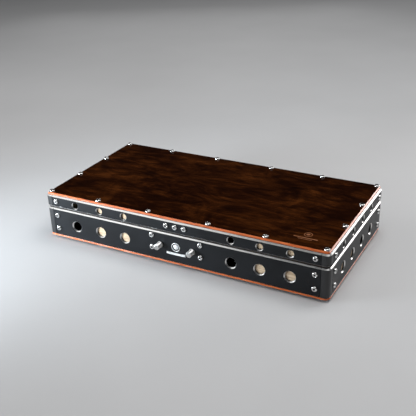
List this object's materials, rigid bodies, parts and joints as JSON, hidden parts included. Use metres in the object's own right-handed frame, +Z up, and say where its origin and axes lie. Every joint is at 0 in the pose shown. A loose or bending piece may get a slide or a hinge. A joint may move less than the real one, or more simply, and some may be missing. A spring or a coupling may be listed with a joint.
{
  "type": "pedalboard",
  "caption": "Flat lidded pedalboard case: dark wood panels, black drilled metal walls, hinged lid with two round latch pins and a slatted pedal deck inside.",
  "frame": {"origin": "on the surface under the feet, midway between the foremost and rearmost points and on the left-right centre line", "axes": "+X to the right along the long side, +Y to the back where the hinges are, +Z up"},
  "size_m": [0.6, 0.3286, 0.0988],
  "materials": {
    "panel_wood": "gloss lacquer over dark walnut",
    "black_plate": "black anodised satin with bare chamfers",
    "black_post": "satin black",
    "pale_ply": "bare birch",
    "deck_ply": "oiled birch plywood",
    "stainless": "satin",
    "zinc_steel": "zinc plated",
    "rim_rubber": "matt",
    "housing_black": "black anodised",
    "foot_rubber": "matt",
    "pin_nickel": "polished side, satin face"
  },
  "bodies": {
    "base": {"bottom_panel": "panel_wood", "base_front_plate": "black_plate", "base_right_plate": "black_plate", "base_back_plate": "black_plate", "base_left_plate": "black_plate", "base_post_front_left": "black_post", "base_post_front_right": "black_post", "base_post_back_right": "black_post", "base_post_back_left": "black_post", "base_block_front_left": "pale_ply", "base_block_front_right": "pale_ply", "base_hinge_block_left": "pale_ply", "base_hinge_block_right": "pale_ply", "base_block_side_left": "pale_ply", "base_block_side_right": "pale_ply", "rim_seal": "rim_rubber", "latch_housing": "housing_black", "end_screw_left_low": "stainless", "end_screw_left_high": "stainless", "end_screw_right_low": "stainless", "end_screw_right_high": "stainless", "latch_screw_left_low": "stainless", "latch_screw_left_high": "stainless", "latch_screw_right_low": "stainless", "latch_screw_right_high": "stainless", "deck_rail_1": "deck_ply", "deck_rail_2": "deck_ply", "deck_rail_3": "deck_ply", "deck_rail_4": "deck_ply", "deck_bearer_left": "pale_ply", "deck_bearer_right": "pale_ply", "foot_front_left": "foot_rubber", "foot_front_right": "foot_rubber", "foot_back_right": "foot_rubber", "foot_back_left": "foot_rubber", "hinge_left_base_leaf": "zinc_steel", "hinge_right_base_leaf": "zinc_steel", "hinge_left_pin": "stainless", "hinge_right_pin": "stainless"},
    "lid": {"lid_top_panel": "panel_wood", "lid_front_plate": "black_plate", "lid_right_plate": "black_plate", "lid_back_plate": "black_plate", "lid_left_plate": "black_plate", "lid_post_front_left": "black_post", "lid_post_front_right": "black_post", "lid_post_back_right": "black_post", "lid_post_back_left": "black_post", "lid_block_front_left": "pale_ply", "lid_block_front_right": "pale_ply", "lid_hinge_block_left": "pale_ply", "lid_hinge_block_right": "pale_ply", "striker_bracket": "zinc_steel", "striker_screw_left": "stainless", "striker_screw_middle": "stainless", "striker_screw_right": "stainless", "hinge_left_lid_leaf": "zinc_steel", "hinge_right_lid_leaf": "zinc_steel"},
    "latch_pin_left": {"latch_pin_left": "pin_nickel"},
    "latch_pin_right": {"latch_pin_right": "pin_nickel"}
  },
  "joints": [
    {"name": "lid_hinge", "type": "hinge", "parent": "base", "child": "lid", "pos_m": [0, 0.15975, 0.0685], "axis": [-1, 0, 0], "range_deg": [0, 105]},
    {"name": "latch_left_slide", "type": "slide", "parent": "base", "child": "latch_pin_left", "axis": [0, 1, 0], "range_m": [0, 0.008]},
    {"name": "latch_right_slide", "type": "slide", "parent": "base", "child": "latch_pin_right", "axis": [0, 1, 0], "range_m": [0, 0.008]}
  ]
}
